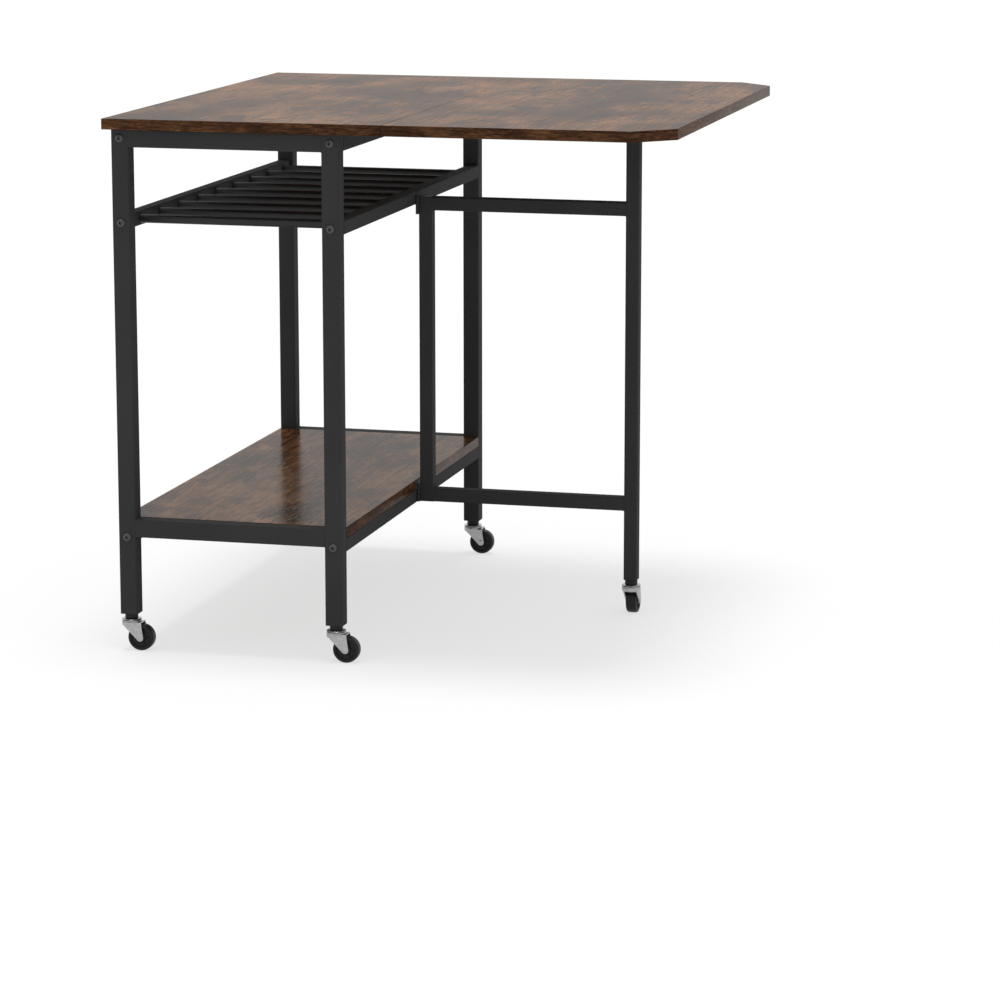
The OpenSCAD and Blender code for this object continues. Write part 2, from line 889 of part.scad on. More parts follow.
fork_gate();
axle_gate();
wheel_gate();
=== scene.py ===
# %% [markdown]
# # A folding dining table on casters
# This lesson dresses a folding table that was built in CAD. The CAD solids are loaded as a
# fixed frame: they are never moved, and their meshes never change. Each visible surface then
# gets its finish, and the pieces that need finer shapes than the solids have are made anew
# and ride on the same moving bodies. All sizes are in metres and +Z is up.

# %% Load the frame
import json
import math

import bmesh
import bpy
from mathutils import Matrix, Vector

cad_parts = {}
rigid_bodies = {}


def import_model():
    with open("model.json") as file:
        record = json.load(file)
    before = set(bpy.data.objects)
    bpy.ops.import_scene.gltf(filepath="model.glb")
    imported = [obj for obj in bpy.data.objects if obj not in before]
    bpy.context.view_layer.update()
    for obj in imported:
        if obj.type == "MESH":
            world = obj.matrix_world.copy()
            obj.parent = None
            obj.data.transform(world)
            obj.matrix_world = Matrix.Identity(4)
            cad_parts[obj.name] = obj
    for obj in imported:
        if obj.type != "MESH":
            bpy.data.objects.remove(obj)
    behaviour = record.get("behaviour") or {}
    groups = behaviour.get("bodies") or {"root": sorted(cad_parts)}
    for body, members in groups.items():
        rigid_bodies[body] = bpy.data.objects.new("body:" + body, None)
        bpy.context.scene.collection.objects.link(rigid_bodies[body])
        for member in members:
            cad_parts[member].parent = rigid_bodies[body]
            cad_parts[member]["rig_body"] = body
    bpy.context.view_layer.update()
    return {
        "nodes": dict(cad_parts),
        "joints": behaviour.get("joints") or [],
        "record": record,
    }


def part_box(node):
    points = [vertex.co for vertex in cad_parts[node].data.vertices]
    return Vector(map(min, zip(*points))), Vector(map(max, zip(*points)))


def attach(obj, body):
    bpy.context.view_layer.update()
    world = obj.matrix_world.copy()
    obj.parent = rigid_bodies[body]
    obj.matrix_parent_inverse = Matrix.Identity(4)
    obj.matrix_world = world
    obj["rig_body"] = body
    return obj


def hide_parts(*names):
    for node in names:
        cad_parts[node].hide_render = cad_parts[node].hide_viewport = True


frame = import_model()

MM = 0.001
nodes = frame["nodes"]
joint_place = {j["name"]: Vector(j["pos_m"]) for j in frame["joints"]}
print("pieces loaded:", len(nodes), "joints:", len(joint_place))

# %% [markdown]
# ## The camera
# The photograph was taken with a long lens from in front of the table's end, a little to the
# leaf's side and above the top. The table's own corners fix the camera: with the sizes known,
# one place, one direction and one focal length put the corners where the photograph shows
# them, to within a few pixels.

# %% Camera
CAMERA_PLACE = (1.3911, -5.2124, 1.2356)
CAMERA_YAW = 14.267
CAMERA_PITCH = 11.26
CAMERA_LENS = 133.288

camera_data = bpy.data.cameras.new("camera")
camera = bpy.data.objects.new("camera", camera_data)
bpy.context.scene.collection.objects.link(camera)
camera.location = CAMERA_PLACE
camera.rotation_euler = (math.radians(90 - CAMERA_PITCH), 0, math.radians(CAMERA_YAW))
camera_data.sensor_width = 36
camera_data.lens = CAMERA_LENS
camera_data.clip_end = 200
bpy.context.scene.camera = camera
print("camera lens:", camera_data.lens, "mm")

# %% [markdown]
# ## Maths on sockets
# A finish is a small calculation that runs at each point of the surface. Writing it as
# Python expressions keeps it readable, so a thin class wraps a socket and turns +, -, * and
# / into Math nodes. Colours never go through Math, which would turn them grey: they are
# mixed by a Mix node.


# %% Sockets and finishes
class Wire:
    """One number, colour or vector that changes over the surface."""

    def __init__(self, finish, socket):
        self.finish = finish
        self.socket = socket

    def sum_up(self, operation, *values):
        inputs = dict(enumerate(values))
        return self.finish.node("ShaderNodeMath", {"operation": operation}, inputs)

    def __add__(self, other):
        return self.sum_up("ADD", self, other)

    __radd__ = __add__

    def __sub__(self, other):
        return self.sum_up("SUBTRACT", self, other)

    def __rsub__(self, other):
        return self.sum_up("SUBTRACT", other, self)

    def __mul__(self, other):
        return self.sum_up("MULTIPLY", self, other)

    __rmul__ = __mul__

    def __truediv__(self, other):
        return self.sum_up("DIVIDE", self, other)


class Finish:
    """A material being mixed: its nodes and the shader they feed."""

    def __init__(self, name, **constants):
        self.material = bpy.data.materials.new(name)
        self.material.use_nodes = True
        self.tree = self.material.node_tree
        self.shader = self.tree.nodes["Principled BSDF"]
        for socket, value in constants.items():
            self.shader.inputs[socket.replace("_", " ")].default_value = value

    def put(self, socket, value):
        if isinstance(value, Wire):
            self.tree.links.new(value.socket, socket)
        else:
            socket.default_value = value

    def node(self, kind, settings=None, inputs=None, output=0):
        made = self.tree.nodes.new(kind)
        for key, value in (settings or {}).items():
            if key == "stops":
                self.set_stops(made.color_ramp, value)
            else:
                setattr(made, key, value)
        for key, value in (inputs or {}).items():
            self.put(made.inputs[key], value)
        return Wire(self, made.outputs[output])

    @staticmethod
    def set_stops(ramp, stops):
        while len(ramp.elements) > len(stops):
            ramp.elements.remove(ramp.elements[-1])
        while len(ramp.elements) < len(stops):
            ramp.elements.new(1)
        for element, (place, colour) in zip(ramp.elements, stops):
            element.position = place
            element.color = (*colour, 1)

    def place(self, stretch=(1, 1, 1), shift=(0, 0, 0)):
        """The point on the piece, in metres, stretched and shifted for a pattern."""
        point = self.node("ShaderNodeTexCoord", output="Object")
        scaled = self.node("ShaderNodeVectorMath", {"operation": "MULTIPLY"},
                           {0: point, 1: stretch})
        return self.node("ShaderNodeVectorMath", {"operation": "ADD"}, {0: scaled, 1: shift})

    def noise(self, where, scale=1.0, detail=3.0, rough=0.5, bend=0.0):
        return self.node("ShaderNodeTexNoise", {"noise_dimensions": "3D"},
                         {"Vector": where, "Scale": scale, "Detail": detail,
                          "Roughness": rough, "Distortion": bend})

    def between(self, value, low, high, to_low=0.0, to_high=1.0):
        """A soft step: to_low below low, to_high above high."""
        return self.node("ShaderNodeMapRange", {"interpolation_type": "SMOOTHSTEP"},
                         {"Value": value, "From Min": low, "From Max": high,
                          "To Min": to_low, "To Max": to_high})

    def ramp(self, value, stops):
        return self.node("ShaderNodeValToRGB", {"stops": stops}, {"Fac": value})

    def mix(self, share, first, second, way="MIX"):
        first, second = [c if isinstance(c, Wire) else (*c, 1) for c in (first, second)]
        return self.node("ShaderNodeMix", {"data_type": "RGBA", "blend_type": way},
                         {0: share, 6: first, 7: second}, output=2)

    def bump(self, height, depth, strength=1.0):
        return self.node("ShaderNodeBump", {}, {"Strength": strength, "Distance": depth,
                                                "Height": height})

    def feed(self, **values):
        for socket, value in values.items():
            self.put(self.shader.inputs[socket.replace("_", " ")], value)
        return self.material


# %% [markdown]
# ## The studio
# The photograph has a white ground with one soft shadow straight under the table, so the main
# light is broad and nearly overhead, with even light from all round. A distant lamp lights
# the whole floor alike. The floor and the world show as white to the camera and in
# reflections by Light Path, while the floor still keeps the table's shadow.

# %% Floor
FLOOR_REACH = 60
FLOOR_WHITE_SHARE = 0.65
FLOOR_ALBEDO = 0.92

floor_mesh = bpy.data.meshes.new("floor")
floor_mesh.from_pydata([(x * FLOOR_REACH, y * FLOOR_REACH, 0)
                        for x, y in ((-1, -1), (1, -1), (1, 1), (-1, 1))], [], [(0, 1, 2, 3)])
floor = bpy.data.objects.new("floor", floor_mesh)
bpy.context.scene.collection.objects.link(floor)

floor_finish = Finish("studio_floor", Roughness=0.9, Specular_IOR_Level=0.0)
floor_finish.feed(Base_Color=(FLOOR_ALBEDO, FLOOR_ALBEDO, FLOOR_ALBEDO, 1))
rays = floor_finish.tree.nodes.new("ShaderNodeLightPath")
seen = Wire(floor_finish, rays.outputs["Is Camera Ray"]) + Wire(
    floor_finish, rays.outputs["Is Glossy Ray"]) + Wire(
    floor_finish, rays.outputs["Is Transmission Ray"])
white = floor_finish.node("ShaderNodeEmission", {}, {"Color": (1, 1, 1, 1), "Strength": 1.0})
shown = floor_finish.node("ShaderNodeMixShader", {}, {
    0: seen * FLOOR_WHITE_SHARE, 1: Wire(floor_finish, floor_finish.shader.outputs[0]),
    2: white})
floor_finish.tree.links.new(
    shown.socket, floor_finish.tree.nodes["Material Output"].inputs["Surface"])
floor_mesh.materials.append(floor_finish.material)

# %% World and lamp
WORLD_FILL = 0.62
LAMP_STRENGTH = 1.75
LAMP_ANGLE = 21
LAMP_TILT = (-2, 1)

world = bpy.data.worlds.new("studio")
bpy.context.scene.world = world
world.use_nodes = True
world_nodes = world.node_tree.nodes
background = world_nodes["Background"]
background.inputs["Color"].default_value = (1, 1, 1, 1)
world_rays = world_nodes.new("ShaderNodeLightPath")
seen_sum = world_nodes.new("ShaderNodeMath")
seen_sum.operation = "MAXIMUM"
world.node_tree.links.new(world_rays.outputs["Is Camera Ray"], seen_sum.inputs[0])
world.node_tree.links.new(world_rays.outputs["Is Glossy Ray"], seen_sum.inputs[1])
seen_more = world_nodes.new("ShaderNodeMath")
seen_more.operation = "MAXIMUM"
world.node_tree.links.new(seen_sum.outputs[0], seen_more.inputs[0])
world.node_tree.links.new(world_rays.outputs["Is Transmission Ray"], seen_more.inputs[1])
level = world_nodes.new("ShaderNodeMapRange")
level.inputs["To Min"].default_value = WORLD_FILL
level.inputs["To Max"].default_value = 1.0
world.node_tree.links.new(seen_more.outputs[0], level.inputs["Value"])
world.node_tree.links.new(level.outputs[0], background.inputs["Strength"])

lamp_data = bpy.data.lights.new("overhead_lamp", "SUN")
lamp_data.energy = LAMP_STRENGTH
lamp_data.angle = math.radians(LAMP_ANGLE)
lamp = bpy.data.objects.new("overhead_lamp", lamp_data)
lamp.rotation_euler = [math.radians(a) for a in (*LAMP_TILT, 0)]
bpy.context.scene.collection.objects.link(lamp)

bpy.context.scene.view_settings.view_transform = "Standard"
print("studio: lamp", LAMP_STRENGTH, "fill", WORLD_FILL)

# %% [markdown]
# ## Rustic brown laminate
# The boards are particle board faced with printed paper under a clear satin coat: brown
# clouds with burnt patches, over grain that runs along the length of the table. The print
# goes on over the seam. Each kind of mark is one noise, stretched along Y by its own amount:
# clouds the width of a hand, mottle the width of a finger, and grain as fine as a pencil
# line. A ramp turns their sum into the printed colours.

# %% Laminate
DEEP = (0.0150, 0.0078, 0.0046)
SMOKE = (0.0210, 0.0165, 0.0150)
UMBER = (0.052, 0.0235, 0.0120)
BROWN = (0.122, 0.0545, 0.0240)
SIENNA = (0.222, 0.1030, 0.0420)
TAN = (0.330, 0.1700, 0.0760)


def laminate_print(finish, lighter=0.0, contrast=1.0):
    """The printed colour, the height of its relief and the mottle of its sheen. Lighter and
    contrast shift and stretch the tones about the middle one."""
    clouds = finish.noise(finish.place((7.0, 4.2, 12)), detail=3, rough=0.5, bend=0.4)
    mottle = finish.noise(finish.place((44, 17, 60), (3, 1, 7)), detail=6, rough=0.66, bend=0.5)
    grain = finish.noise(finish.place((330, 7, 330), (5, 2, 1)), detail=3, rough=0.6, bend=0.15)
    pores = finish.noise(finish.place((900, 70, 900), (1, 8, 2)), detail=2, rough=0.5)
    tone = (finish.between(clouds, 0.32, 0.68) * 0.40 + finish.between(mottle, 0.30, 0.70) * 0.28
            + finish.between(grain, 0.28, 0.72) * 0.34 + pores * 0.18 - 0.12)
    tone = (tone - 0.5) * contrast + (0.5 + lighter)
    colour = finish.ramp(tone, [(0.0, DEEP), (0.24, UMBER), (0.50, BROWN), (0.78, SIENNA),
                                (1.0, TAN)])
    smoke = finish.noise(finish.place((23, 9, 30), (11, 4, 3)), detail=6, rough=0.68, bend=0.8)
    smoke_mask = finish.between(smoke + grain * 0.14, 0.56, 0.74) * 0.78
    colour = finish.mix(smoke_mask, colour, SMOKE)
    dashes = finish.noise(finish.place((420, 26, 420), (2, 6, 9)), detail=3, rough=0.7, bend=0.4)
    dash_mask = finish.between(dashes, 0.55, 0.66) * 0.62
    colour = finish.mix(dash_mask, colour, DEEP)
    return colour, grain * 0.5 + pores * 0.3 - dash_mask * 0.7, mottle


def rustic_laminate(name, lighter, contrast, sheen, rough):
    finish = Finish(name, Specular_IOR_Level=sheen)
    colour, relief, mottle = laminate_print(finish, lighter, contrast)
    return finish.feed(Base_Color=colour, Roughness=mottle * 0.10 + rough,
                       Normal=finish.bump(relief, 0.00010))


# %% [markdown]
# ## Edge band
# A thin printed strip is glued round each board. Its print runs along the strip on all four
# sides, so the pattern changes fast with height and slowly along the edge. Seen from above
# the strip is trimmed flush and takes the print of the board, by the way its face points.

# %% Edge band


def edge_band():
    finish = Finish("edge_band_print", Specular_IOR_Level=0.020)
    drift = finish.noise(finish.place((11, 11, 40)), detail=4, rough=0.6, bend=0.6)
    layers = finish.noise(finish.place((30, 30, 420), (4, 2, 1)), detail=6, rough=0.70, bend=0.3)
    fibres = finish.noise(finish.place((95, 95, 900), (2, 5, 3)), detail=4, rough=0.62)
    tone = (finish.between(drift, 0.34, 0.68) * 0.34 + finish.between(layers, 0.32, 0.68) * 0.46
            + finish.between(fibres, 0.34, 0.66) * 0.40 - 0.16)
    strip = finish.ramp(tone, [(0.0, DEEP), (0.40, UMBER), (0.74, BROWN), (1.0, SIENNA)])
    board, _, _ = laminate_print(finish)
    normal = finish.node("ShaderNodeNewGeometry", output="Normal")
    upright = finish.node("ShaderNodeSeparateXYZ", {}, {"Vector": normal}, output="Z")
    flat = finish.between(upright * upright, 0.45, 0.80)
    return finish.feed(
        Base_Color=finish.mix(flat, strip, board),
        Roughness=0.26 + fibres * 0.12,
        Normal=finish.bump(layers * 0.5 + fibres * 0.5, 0.00008))


# %% [markdown]
# ## Steel, zinc and plastic
# The tubes have a matt black powder coat: melted powder leaves a fine orange peel. Bolts are
# black oxide, casters, pins and screws are bright zinc, and the wheels and plugs are moulded
# black plastic. Each one has its own grain, sheen and slight change of tone.

# %% Powder coat


def powder_coat(name, tone, rough, sheen):
    finish = Finish(name, Specular_IOR_Level=sheen)
    peel = finish.noise(finish.place((1, 1, 1)), scale=900, detail=2, rough=0.5)
    speckle = finish.noise(finish.place((1, 1, 1), (3, 3, 3)), scale=2600, detail=1)
    drift = finish.noise(finish.place((1, 1, 1), (7, 1, 4)), scale=6, detail=3)
    colour = finish.mix(finish.between(drift * 0.7 + speckle * 0.3, 0.30, 0.70),
                        (0.88 * tone, 0.88 * tone, 0.90 * tone),
                        (1.12 * tone, 1.12 * tone, 1.14 * tone))
    return finish.feed(
        Base_Color=colour,
        Roughness=rough + drift * 0.10 + speckle * 0.06,
        Normal=finish.bump(peel * 0.7 + speckle * 0.3, 0.00018, 0.8))


# %% Metals and plastics


def black_oxide():
    finish = Finish("black_oxide", Metallic=0.55)
    mottle = finish.noise(finish.place(), scale=700, detail=3)
    colour = finish.mix(mottle, (0.042, 0.042, 0.045), (0.090, 0.090, 0.094))
    return finish.feed(Base_Color=colour, Roughness=0.28 + mottle * 0.14,
                       Normal=finish.bump(mottle, 0.00005))


def bright_zinc(name, tint_low, tint_high, rough):
    finish = Finish(name, Metallic=1.0)
    bloom = finish.noise(finish.place(), scale=240, detail=4, rough=0.6)
    brushed = finish.noise(finish.place((700, 700, 90)), detail=3, rough=0.6)
    colour = finish.mix(finish.between(bloom, 0.3, 0.7), tint_low, tint_high)
    return finish.feed(Base_Color=colour, Roughness=rough + bloom * 0.10 + brushed * 0.08,
                       Normal=finish.bump(brushed, 0.00004))


def moulded_black(name, base, rough, grain):
    finish = Finish(name, Specular_IOR_Level=0.22)
    fine = finish.noise(finish.place(), scale=grain, detail=2)
    drift = finish.noise(finish.place((1, 1, 1), (2, 2, 2)), scale=40, detail=3)
    colour = finish.mix(finish.between(drift, 0.3, 0.7), [0.75 * base] * 3, [1.3 * base] * 3)
    return finish.feed(Base_Color=colour, Roughness=rough + fine * 0.12 + drift * 0.06,
                       Normal=finish.bump(fine, 0.00006))


FINISHES = {
    "board_face": rustic_laminate("rustic_laminate", lighter=-0.03, contrast=1.10, sheen=0.006,
                                  rough=0.19),
    # The shelf's print is made lighter than the top's: painted light, for light the shelf does
    # not get under the top.
    "shelf_face_painted_light": rustic_laminate("shelf_laminate_painted_light", lighter=0.15, contrast=1.60, sheen=0.016,
                                  rough=0.12),
    "board_edge": edge_band(),
    "frame_black": powder_coat("powder_coat", tone=0.034, rough=0.80, sheen=0.18),
    # The rack's coat is darker than the frame's: painted shade, for the deep shade the bars sit
    # in under the top.
    "rack_black_painted_shade": powder_coat("rack_powder_coat_painted_shade", tone=0.011, rough=0.34, sheen=0.34),
    "bolt_black": black_oxide(),
    "zinc_steel": bright_zinc("zinc_steel", (0.50, 0.50, 0.49), (0.64, 0.64, 0.62), 0.24),
    "caster_zinc": bright_zinc("caster_zinc", (0.36, 0.36, 0.36), (0.46, 0.46, 0.455), 0.22),
    "wheel_black": moulded_black("wheel_black", 0.011, 0.36, 1500),
    "black_plastic": moulded_black("black_plastic", 0.013, 0.40, 1100),
}
print("finishes:", ", ".join(FINISHES))

# %% [markdown]
# ## Finishes on the CAD solids
# The record says which slot each node takes its finish from. The tubes, plugs and pins are
# right as they are, so they keep their solids and only get the finish. The shelf gets a
# lighter copy of the same print: painted light, for light the shelf does not get under the top.

# %% Finish every CAD node
SLOT_OF = {s["node"]: s["material_slot"] for s in frame["record"]["subparts"]}
# The shelf takes its lighter copy of the print, which is painted light.
OWN_FINISH = {"lower_shelf": "shelf_face_painted_light"}
for name, piece in nodes.items():
    piece.data.materials.clear()
    piece.data.materials.append(FINISHES[OWN_FINISH.get(name, SLOT_OF[name])])
print("nodes finished:", len(SLOT_OF))

# %% [markdown]
# ## Helpers for new pieces
# Turned shapes are made like on a lathe: a list of (radius, height) rows is swept round Z. A
# radius may also be a function of the angle, which gives a hexagon or a cross from the same
# rows. A new piece is one mesh in the row frame, so its object stays at the origin.

# %% Lathe


def swept(rows, count=48):
    """Vertices and faces of rows swept round Z; a zero radius closes the end."""
    points, faces, rings = [], [], []
    for radius, height in rows:
        if not callable(radius) and radius == 0:
            rings.append([len(points)])
            points.append((0, 0, height))
            continue
        ring = []
        for k in range(count):
            angle = 2 * math.pi * k / count
            r = radius(angle) if callable(radius) else radius
            ring.append(len(points))
            points.append((r * math.cos(angle), r * math.sin(angle), height))
        rings.append(ring)
    for low, high in zip(rings, rings[1:]):
        for k in range(count):
            n = (k + 1) % count
            corners = [low[k % len(low)], low[n % len(low)], high[n % len(high)],
                       high[k % len(high)]]
            face = list(dict.fromkeys(corners))
            if len(face) > 2:
                faces.append(face)
    return points, faces


def hexagon(across_flats):
    """Radius of a hexagon at an angle."""
    def radius(angle):
        turn = (angle + math.pi / 6) % (math.pi / 3) - math.pi / 6
        return across_flats / 2 / math.cos(turn)
    return radius


def cross(reach, half_width):
    """Radius of a cross recess at an angle."""
    def radius(angle):
        c, s = abs(math.cos(angle)) + 1e-9, abs(math.sin(angle)) + 1e-9
        return max(min(reach / c, half_width / s), min(reach / s, half_width / c))
    return radius


# %% Meshes


def new_mesh(name, shells, finish, smooth=38):
    """One object from shells of (points, faces), with faces turned outwards."""
    shape = bmesh.new()
    for points, faces in shells:
        made = [shape.verts.new(p) for p in points]
        for face in faces:
            shape.faces.new([made[i] for i in face])
    bmesh.ops.remove_doubles(shape, verts=shape.verts, dist=1e-6)
    bmesh.ops.recalc_face_normals(shape, faces=shape.faces)
    mesh = bpy.data.meshes.new(name)
    shape.to_mesh(mesh)
    shape.free()
    mesh.materials.append(finish)
    mesh.shade_smooth()
    mesh.set_sharp_from_angle(angle=math.radians(smooth))
    piece = bpy.data.objects.new(name, mesh)
    bpy.context.scene.collection.objects.link(piece)
    return piece


def moved(shell, matrix):
    points, faces = shell
    return [tuple(matrix @ Vector(p)) for p in points], faces


def dress(piece, body, slot, *replaced):
    """Says what a new piece rides on and hides the CAD nodes it stands for. Its slot argument is
    not used.
    """
    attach(piece, body)
    if replaced:
        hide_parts(*replaced)
    print(piece.name, "on", body, len(piece.data.polygons), "faces")
    return piece


def body_of_node(name):
    return nodes[name]["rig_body"]


# %% [markdown]
# ## Boards and bands with eased edges
# A board's edges are never razor sharp: the band is trimmed and its corners are scraped. A
# copy of the CAD solid is merged, its flat triangles are joined into whole faces, and a
# narrow bevel then rounds each sharp edge. The copy stays within the solid, so sizes hold.

# %% Eased copies
SEAM_HALF = 1.5 * MM


def ease(shape, width, left_sharp=None, segments=2, angle=40):
    """Rounds the sharp edges of a bmesh by width, but for those that left_sharp picks."""
    sharp = [e for e in shape.edges if len(e.link_faces) == 2
             and e.calc_face_angle(0) > math.radians(angle)
             and not (left_sharp and left_sharp(e))]
    bmesh.ops.bevel(shape, geom=sharp, offset=width, offset_type="OFFSET", segments=segments,
                    profile=0.5, affect="EDGES", clamp_overlap=True)


def at_seam(edge):
    return max(abs(v.co.x) for v in edge.verts) <= SEAM_HALF


def eased_copy(node, name, width):
    """A copy of a CAD node with its sharp edges rounded by width, but not at the seam."""
    shape = bmesh.new()
    shape.from_mesh(nodes[node].data)
    bmesh.ops.remove_doubles(shape, verts=shape.verts, dist=2e-6)
    bmesh.ops.dissolve_limit(shape, angle_limit=math.radians(1), verts=shape.verts,
                             edges=shape.edges)
    ease(shape, width, at_seam)
    mesh = bpy.data.meshes.new(name)
    shape.to_mesh(mesh)
    shape.free()
    mesh.materials.append(FINISHES[SLOT_OF[node]])
    mesh.shade_smooth()
    mesh.set_sharp_from_angle(angle=math.radians(32))
    piece = bpy.data.objects.new(name, mesh)
    bpy.context.scene.collection.objects.link(piece)
    return dress(piece, body_of_node(node), SLOT_OF[node], node)


EASED = {
    "fixed_top_band": 0.30, "lower_shelf_band": 0.30, "drop_leaf_band": 0.30,
    "gate_stop": 0.6, "leaf_hinge_plates": 0.25, "leaf_hinge_flaps": 0.25,
    "gate_hinge_brackets": 0.25, "gate_hinge_knuckles": 0.25,
}
for node, width in EASED.items():
    eased_copy(node, node + "_eased", width * MM)

# %% [markdown]
# ## Fasteners set out by Geometry Nodes
# The twelve frame bolts are one shape in twelve places, and so are the screws. A small node
# tree puts a shape on each point of a mesh, turned by an attribute of the point, with a
# seeded spin about its own axis, because no two screws end up with their sockets alike.
# Three trees follow, so one class adds and links their nodes, and a tree then reads as a
# list of what it makes.

# %% Node tree that sets out a shape
SPIN_SEED = 7


class TreeBuild:
    """A geometry tree under construction. Its inputs are given by name and kind."""

    def __init__(self, name, **kinds):
        self.tree = bpy.data.node_groups.new(name, "GeometryNodeTree")
        sockets = self.tree.interface
        for label, kind in kinds.items():
            sockets.new_socket(label, in_out="INPUT", socket_type="NodeSocket" + kind)
        sockets.new_socket("Result", in_out="OUTPUT", socket_type="NodeSocketGeometry")
        self.given = self.tree.nodes.new("NodeGroupInput").outputs

    def add(self, kind, inputs, output=0, **settings):
        """Adds a node, sets or links its inputs and gives one of its outputs."""
        made = self.tree.nodes.new(kind)
        for key, value in settings.items():
            setattr(made, key, value)
        for key, value in inputs.items():
            if isinstance(value, bpy.types.NodeSocket):
                self.tree.links.new(value, made.inputs[key])
            else:
                made.inputs[key].default_value = value
        return made.outputs[output]

    def done(self, copies):
        """Makes the copies real, gives them the finish and returns the tree."""
        real = self.add("GeometryNodeRealizeInstances", {0: copies})
        painted = self.add("GeometryNodeSetMaterial",
                           {"Geometry": real, "Material": self.given["Finish"]})
        result = self.tree.nodes.new("NodeGroupOutput")
        self.tree.links.new(painted, result.inputs[0])
        return self.tree


def setting_out_tree():
    build = TreeBuild("set_out_shape", Points="Geometry", Shape="Object", Spin="Float",
                      Seed="Int", Finish="Material")
    given = build.given
    shape = build.add("GeometryNodeObjectInfo", {"Object": given["Shape"]}, "Geometry")
    turn = build.add("GeometryNodeInputNamedAttribute", {"Name": "turn"}, "Attribute",
                     data_type="FLOAT_VECTOR")
    spin = build.add("FunctionNodeRandomValue", {3: given["Spin"], "Seed": given["Seed"]}, 1,
                     data_type="FLOAT")
    own_axis = build.add("ShaderNodeCombineXYZ", {"Z": spin})
    rotation = build.add("FunctionNodeRotateEuler", {"Rotation": turn, "Rotate By": own_axis},
                         rotation_type="EULER", space="LOCAL")
    return build.done(build.add("GeometryNodeInstanceOnPoints", {
        "Points": given["Points"], "Instance": shape, "Rotation": rotation}))


def run_tree(name, start_mesh, tree, values):
    """Runs a geometry tree on a mesh and keeps the result as one plain mesh."""
    carrier = bpy.data.objects.new(name, start_mesh)
    bpy.context.scene.collection.objects.link(carrier)
    modifier = carrier.modifiers.new("tree", "NODES")
    modifier.node_group = tree
    sockets = {s.name: s.identifier for s in tree.interface.items_tree
               if s.item_type == "SOCKET" and s.in_out == "INPUT"}
    for key, value in values.items():
        modifier[sockets[key]] = value
    bpy.context.view_layer.update()
    ready = carrier.evaluated_get(bpy.context.evaluated_depsgraph_get())
    mesh = bpy.data.meshes.new_from_object(ready)
    carrier.modifiers.clear()
    carrier.data = mesh
    mesh.name = name
    return carrier


SET_OUT = setting_out_tree()


def set_out(name, shell, places, slot, body, spin, *replaced):
    """Puts a turned shape on each (point, turn) of places, as one piece."""
    shape = new_mesh(name + "_shape", [shell], FINISHES[slot])
    points = bpy.data.meshes.new(name + "_points")
    points.from_pydata([p for p, _ in places], [], [])
    turn = points.attributes.new("turn", "FLOAT_VECTOR", "POINT")
    for k, (_, euler) in enumerate(places):
        turn.data[k].vector = euler
    piece = run_tree(name, points, SET_OUT, {
        "Shape": shape, "Spin": spin, "Seed": SPIN_SEED, "Finish": FINISHES[slot]})
    bpy.data.objects.remove(shape)
    return dress(piece, body, slot, *replaced)


# %% [markdown]
# ## The rack
# The rack is nine bars of small round tube, welded between the rack rails at one pitch. Its
# node tree draws one bar as a circle swept along a line, and a row of points copies it, so
# the count, the pitch and the size of the tube are numbers to play with.

# %% Rack
RACK_BARS = 9
BAR_SIDES = 20


def rack_tree():
    build = TreeBuild("rack_of_bars", Count="Int", First="Vector", Pitch="Vector",
                      Length="Float", Width="Float", Sides="Int", Finish="Material")
    given = build.given
    row = build.add("GeometryNodeMeshLine", {
        "Count": given["Count"], "Start Location": given["First"], "Offset": given["Pitch"]})
    reach = build.add("ShaderNodeCombineXYZ", {"X": given["Length"]})
    bar = build.add("GeometryNodeCurvePrimitiveLine", {"End": reach})
    half = build.add("ShaderNodeMath", {0: given["Width"], 1: 0.5}, operation="MULTIPLY")
    outline = build.add("GeometryNodeCurvePrimitiveCircle", {
        "Resolution": given["Sides"], "Radius": half})
    tube = build.add("GeometryNodeCurveToMesh", {
        "Curve": bar, "Profile Curve": outline, "Fill Caps": True})
    return build.done(build.add("GeometryNodeInstanceOnPoints", {
        "Points": row, "Instance": tube}))


low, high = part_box("rack_bars")
bar_width = high.z - low.z
rack_pitch = (high.y - low.y - bar_width) / (RACK_BARS - 1)
# The bars take the darker copy of the coat, which is painted shade.
rack = run_tree("rack_tubes", bpy.data.meshes.new("empty"), rack_tree(), {
    "Count": RACK_BARS, "First": (low.x, low.y + bar_width / 2, (low.z + high.z) / 2),
    "Pitch": (0, rack_pitch, 0), "Length": high.x - low.x, "Width": bar_width,
    "Sides": BAR_SIDES, "Finish": FINISHES["rack_black_painted_shade"]})
rack.data.shade_smooth()
rack.data.set_sharp_from_angle(angle=math.radians(32))
dress(rack, "frame", "frame_black", "rack_bars")
print("rack:", RACK_BARS, "bars at", round(rack_pitch / MM, 1), "mm")

# %% [markdown]
# ## Weld beads
# The end frames, the gate and the rack are welded, and a weld is a row of small puddles of
# steel that overlap, here under the coat. The seams are drawn as bare edges. A node tree
# turns them into curves, walks along them at one pitch and leaves a ball at each step, so
# one tree serves the straight seams of the rails and the rings round the rack bars.

# %% Node tree of a weld bead


